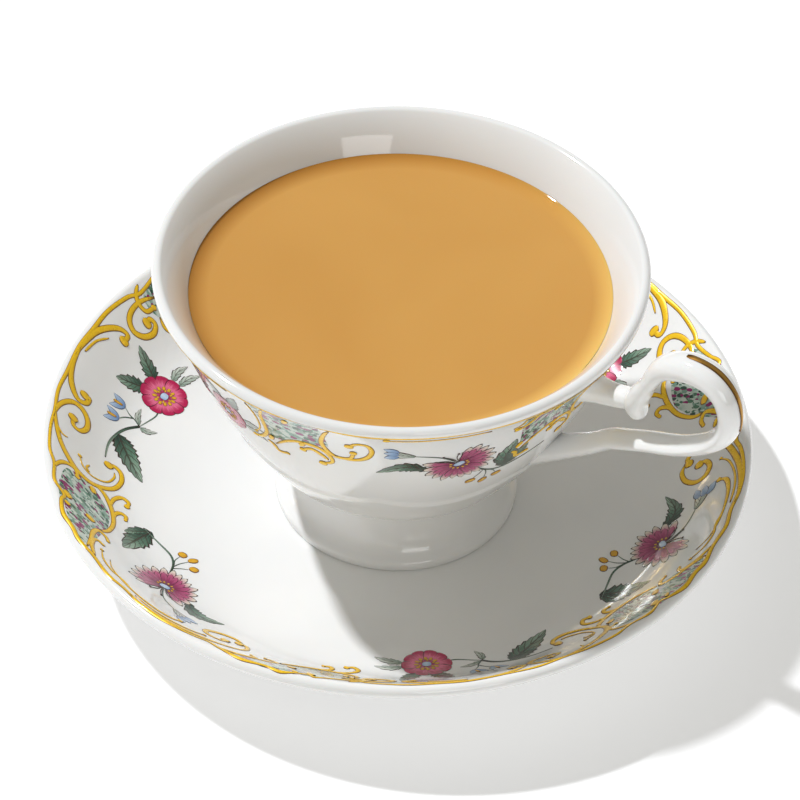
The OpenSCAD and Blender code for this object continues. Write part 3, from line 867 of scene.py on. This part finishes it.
def rod(name, line, thickness, width, rings, edges):
    """A grid rolled round a line in the handle's plane, and closed at its ends."""
    sides = 48
    bpy.ops.object.select_all(action="DESELECT")
    bpy.ops.mesh.primitive_grid_add(x_subdivisions=sides, y_subdivisions=rings, size=1)
    piece = bpy.context.object
    piece.name = name
    for vertex in piece.data.vertices:
        angle, t = 2 * pi * (vertex.co.x + 0.5), vertex.co.y + 0.5
        place, way = on_line(line, t)
        c, s = cos(angle), sin(angle)
        square = smooth_share(edges, t)
        rounder = (abs(c) ** square + abs(s) ** square) ** (-1 / square)
        depth = smooth_share(thickness, t) / 2 * c * rounder
        out = smooth_share(width, t) / 2 * s * rounder
        vertex.co = (
            MM * (place[0] - way[1] * depth), MM * out, MM * (place[1] + way[0] * depth + CUP_Z),
        )
    bpy.ops.object.mode_set(mode="EDIT")
    bpy.ops.mesh.select_all(action="SELECT")
    bpy.ops.mesh.remove_doubles(threshold=0.004 * MM)
    bpy.ops.mesh.select_all(action="DESELECT")
    bpy.ops.mesh.select_non_manifold()
    bpy.ops.mesh.fill_holes(sides=0)
    bpy.ops.mesh.select_all(action="SELECT")
    bpy.ops.mesh.normals_make_consistent(inside=False)
    bpy.ops.object.mode_set(mode="OBJECT")
    bpy.ops.object.shade_smooth_by_angle(angle=radians(50))
    return piece


handle = rod("handle_loop", handle_line, HANDLE_T, HANDLE_W, 240, HANDLE_EDGES)
neck = rod("handle_neck", neck_line, NECK_TABLE, NECK_W, 50, [(0, 2.2), (1, 2.2)])
for piece in (handle, neck):
    piece.data.materials.append(cup_body.data.materials[0])
    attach(piece, "root")

# ---- Handle's gilding ---------------------------------------------------------------------------
# One tapered stroke of gold along the loop's outer ridge, from the crown down to the bend.
STRIPE_FROM, STRIPE_RUN, STRIPE_T = 0.305, 0.215, 0.25
stripe_half = [(0, 0.3), (0.03, 0.5), (0.3, 0.55), (0.7, 0.38), (1, 0.1)]
bpy.ops.object.select_all(action="DESELECT")
bpy.ops.mesh.primitive_grid_add(x_subdivisions=6, y_subdivisions=60, size=1, calc_uvs=True)
stripe = bpy.context.object
stripe.name = "handle_stripe"
for vertex in stripe.data.vertices:
    side, share = 2 * vertex.co.x, vertex.co.y + 0.5
    t = STRIPE_FROM + STRIPE_RUN * share
    place, way = on_line(handle_line, t)
    across = side * share_of(stripe_half, share)
    rise = smooth_share(HANDLE_T, t) / 2 - 0.03 + 0.06 * (1 - side * side) - 0.16 * abs(across) ** 1.6
    vertex.co = (
        MM * (place[0] - way[1] * rise), MM * across, MM * (place[1] + way[0] * rise + CUP_Z),
    )
bpy.ops.object.modifier_add(type="SOLIDIFY")
stripe.modifiers["Solidify"].thickness = STRIPE_T * MM
stripe.modifiers["Solidify"].offset = -1
bpy.ops.object.modifier_apply(modifier="Solidify")
# painted shade: the stripe's gold is painted darker than the other gilding, for the shade it lies in
shaded_stripe_gold = gilding("gold_with_painted_shade", (0.50, 0.27, 0.05), (0.15, 0.065, 0.012), 0.85)
finished(stripe, shaded_stripe_gold)

# ---- Cup's painting -----------------------------------------------------------------------------
# The saucer's pattern again under the lip: a gold line, panels in gilt scrolls, and between them the
# same two sprigs by turns. It is drawn in the flat and wrapped round the bowl.
WRAP_R = 47.0
TURN = 36


def wrapped(piece):
    """Millimetres in the flat, along the rim and below it, become metres on the bowl's outside."""
    for vertex in piece.data.vertices:
        x, y, rise = vertex.co
        height = CUP_H + y
        around, out = x / WRAP_R, look_up(bowl_outside, height) + rise
        vertex.co = (MM * out * cos(around), MM * out * sin(around), MM * (height + CUP_Z))
    piece.data.update()
    return piece


def strip(points, turned_by=0.0, mirror=None):
    """Points given as (degrees, millimetres below the rim), as places in the flat."""
    flat = []
    for angle, drop in points:
        angle = 2 * mirror - angle if mirror is not None else angle
        flat.append((WRAP_R * radians(angle + TURN + turned_by), -drop))
    return flat


def cup_scroll(points, widths, ball, turned_by, mirror):
    """A gilt scroll on the cup, with a ball at its last point where ball is its width."""
    line = strip(points, turned_by, mirror)
    strokes = [brushed(line, widths, 0.04, 0.12, across=5, along=max(12, 5 * len(points)))]
    if ball:
        strokes.append(dab(*line[-1], ball, ball, 0.06, crown=0.18))
    return strokes


PANEL_AT, CROWDED = 244, 66
CUP_PANELS = ((0, False), (66, False), (-64, False), (-128, False), (-192, False), (-256, True))
cup_gold, cup_panels = [], []
line_points = [
    (a, 1.75 + 0.3 * sin(radians(a * 11 + 40)) + 0.15 * sin(radians(a * 17))) for a in range(-36, 325, 5)
]
line_widths = [(0, 0.9), (0.5, 1.0), (1, 0.9)]
cup_gold.append(brushed(strip(line_points), line_widths, 0.03, 0.07, across=4, along=360))
for turned_by, flip in CUP_PANELS:
    mirror = PANEL_AT if flip else None
    # the frame beside the handle is cut short, clear of a sprig's leaf
    if turned_by == CROWDED:
        tail, tail_ball = [(238.2, 2.2), (237.0, 4.6), (235.6, 6.4), (233.4, 7.0)], 1.6
        thread = [(234.4, 3.0), (234.0, 5.0), (232.4, 6.0)]
    else:
        tail = [(238.2, 2.2), (236.2, 6.0), (235.8, 9.4), (235.4, 13.3), (233.0, 16.2), (230.4, 17.2)]
        tail_ball, thread = 1.4, [(233.0, 3.4), (233.9, 8.6), (233.5, 12.6), (231.4, 15.3)]
    for curve, ball in (
        ([(254.6, 2.2), (253.0, 4.8), (251.7, 8.5), (252.6, 11.6), (254.9, 13.5), (258.4, 13.1),
          (259.4, 10.7)], 1.6),
        ([(254.4, 13.0), (257.4, 13.7), (260.6, 13.2), (263.0, 11.6), (264.0, 9.0), (263.0, 6.7),
          (260.6, 6.5), (258.6, 8.0)], 1.9),
        ([(237.4, 16.5), (241.4, 13.3), (245.1, 11.6), (249.2, 11.3), (252.0, 12.5), (253.4, 14.7),
          (253.2, 16.4), (250.7, 17.6)], 1.9),
        ([(252.4, 15.7), (250.9, 14.3), (248.4, 13.0), (245.8, 14.3)], 1.6),
        ([(234.6, 16.6), (236.1, 17.5), (237.2, 19.4), (240.1, 18.8)], 1.2),
        (tail, tail_ball),
    ):
        cup_gold += cup_scroll(curve, [(t, 0.95 * w) for t, w in SCROLL], ball, turned_by, mirror)
    for curve, ball in (
        (thread, 0.8),
        ([(291.5, 3.2), (282.7, 3.2), (275.6, 3.3), (270.6, 3.3), (267.6, 3.1)], 1.4),
    ):
        cup_gold += cup_scroll(curve, THIN, ball, turned_by, mirror)
    for x, y in ((236.4, 14.6), (243.5, 4.0), (246.0, 12.0)):
        (spot,) = strip([(x, y)], turned_by, mirror)
        cup_gold.append(dab(*spot, 2.2, 1.5, 0.07, turn_by=60, crown=0.18))
    cup_panels.append(
        brushed(strip([(235.2, 8.6), (240.4, 7.8), (246.4, 6.8), (252.8, 6.2)], turned_by, mirror),
                [(0, 11.5), (0.3, 11.6), (0.6, 9.0), (0.85, 8.4), (1, 7.4)], 0.03, 0.02, across=10, along=30)
    )
finished(wrapped(joined("cup_gilding", cup_gold)), gilt)
finished(wrapped(joined("cup_panels", cup_panels)), stippling)

CUP_SPRIGS = (
    (carnation_sprig, 285.9), (rose_sprig, 221), (carnation_sprig, 157.9), (rose_sprig, 93),
    (carnation_sprig, 29.9),
)
SPRIG_DROP = 15.3
on_cup = {}
for sprig, at in CUP_SPRIGS:
    pieces = list(sprig.items())
    if sprig is carnation_sprig:
        pieces.append(("green_leaves", near_leaves))
    for colour, piece in pieces:
        placed = copied(piece)
        for vertex in placed.data.vertices:
            vertex.co.x = vertex.co.x + WRAP_R * radians(at + TURN)
            vertex.co.y = 0.92 * vertex.co.y - SPRIG_DROP
        on_cup.setdefault(colour, []).append(placed)
for colour, copies in on_cup.items():
    finished(wrapped(joined("cup_" + colour, copies)), SPRIG_PAINTS[colour])
for piece in (*rose_sprig.values(), *carnation_sprig.values(), near_leaves, far_leaves):
    bpy.data.objects.remove(piece)

# ---- Tea ----------------------------------------------------------------------------------------
# Black tea with milk, opaque and still, a little over 8 mm under the rim. Its surface is flat and
# climbs the glaze in a thin edge, with painted light on the sun's side and painted shade on the other.
TEA_DROP, TEA_GAP, DIP = 8.3, 0.05, 0.25
CLIMB, CLIMB_RUN = 0.85, 1.5
level = CUP_H - TEA_DROP - DIP
wetted = [Vector((max(0.0, r - TEA_GAP), h + TEA_GAP)) for r, h in cup_inside if h + TEA_GAP < level]
shore = look_up(cup_inside, level + CLIMB) - TEA_GAP
wetted.append(Vector((look_up(cup_inside, level) - TEA_GAP, level)))
meniscus = [
    Vector((shore - back, level + CLIMB * exp(-back / CLIMB_RUN)))
    for back in (0, 0.15, 0.35, 0.6, 0.9, 1.25, 1.7, 2.2, 2.8, 3.6, 4.6, 6, 8)
]
meniscus += [Vector((r, level)) for r in (30, 20, 10, 0)]
tea = turned("tea", [Vector((r, h + CUP_Z)) for r, h in wetted + meniscus], 160)
brew, tree, shader = material("milk_tea")
place = node(tree, "ShaderNodeTexCoord").outputs["Object"]
part = node(tree, "ShaderNodeSeparateXYZ")
tree.links.new(place, part.inputs[0])
square = sums(tree, "ADD", sums(tree, "MULTIPLY", part.outputs["X"], part.outputs["X"]),
              sums(tree, "MULTIPLY", part.outputs["Y"], part.outputs["Y"]))
swirl = node(tree, "ShaderNodeTexNoise", Scale=16.0, Detail=2.0, Distortion=0.6)
tree.links.new(place, swirl.inputs["Vector"])
milky = ramp(tree, swirl.outputs["Fac"], [(0.35, (0.625, 0.32, 0.080)), (0.65, (0.665, 0.355, 0.094))])
painted_shore_band = ramp(tree, sums(tree, "SQRT", square), [(0.0404, (0, 0, 0)), (0.0430, (1, 1, 1))])
# painted light and shade on the thin edge: cream towards the sun, dark brown on the other side
painted_light_side = sums(tree, "MULTIPLY_ADD", part.outputs["X"], 11.0, 0.5)
edge = ramp(
    tree, painted_light_side, [(0.05, (0.42, 0.175, 0.028)), (0.45, (0.60, 0.28, 0.055)), (0.95, (0.88, 0.54, 0.15))],
)
tree.links.new(blended(tree, painted_shore_band, milky, edge), shader.inputs["Base Color"])
shader.inputs["Roughness"].default_value = 0.03
shader.inputs["IOR"].default_value = 1.34
shader.inputs["Subsurface Weight"].default_value = 0.25
shader.inputs["Subsurface Radius"].default_value = (1.0, 0.5, 0.2)
shader.inputs["Subsurface Scale"].default_value = 0.0015
ripple = node(tree, "ShaderNodeTexNoise", Scale=45.0, Detail=1.0)
tree.links.new(place, ripple.inputs["Vector"])
bump = node(tree, "ShaderNodeBump", Strength=0.05, Distance=0.0005)
tree.links.new(ripple.outputs["Fac"], bump.inputs["Height"])
tree.links.new(bump.outputs["Normal"], shader.inputs["Normal"])
tea.data.materials.append(brew)
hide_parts("tea")
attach(tea, "root")
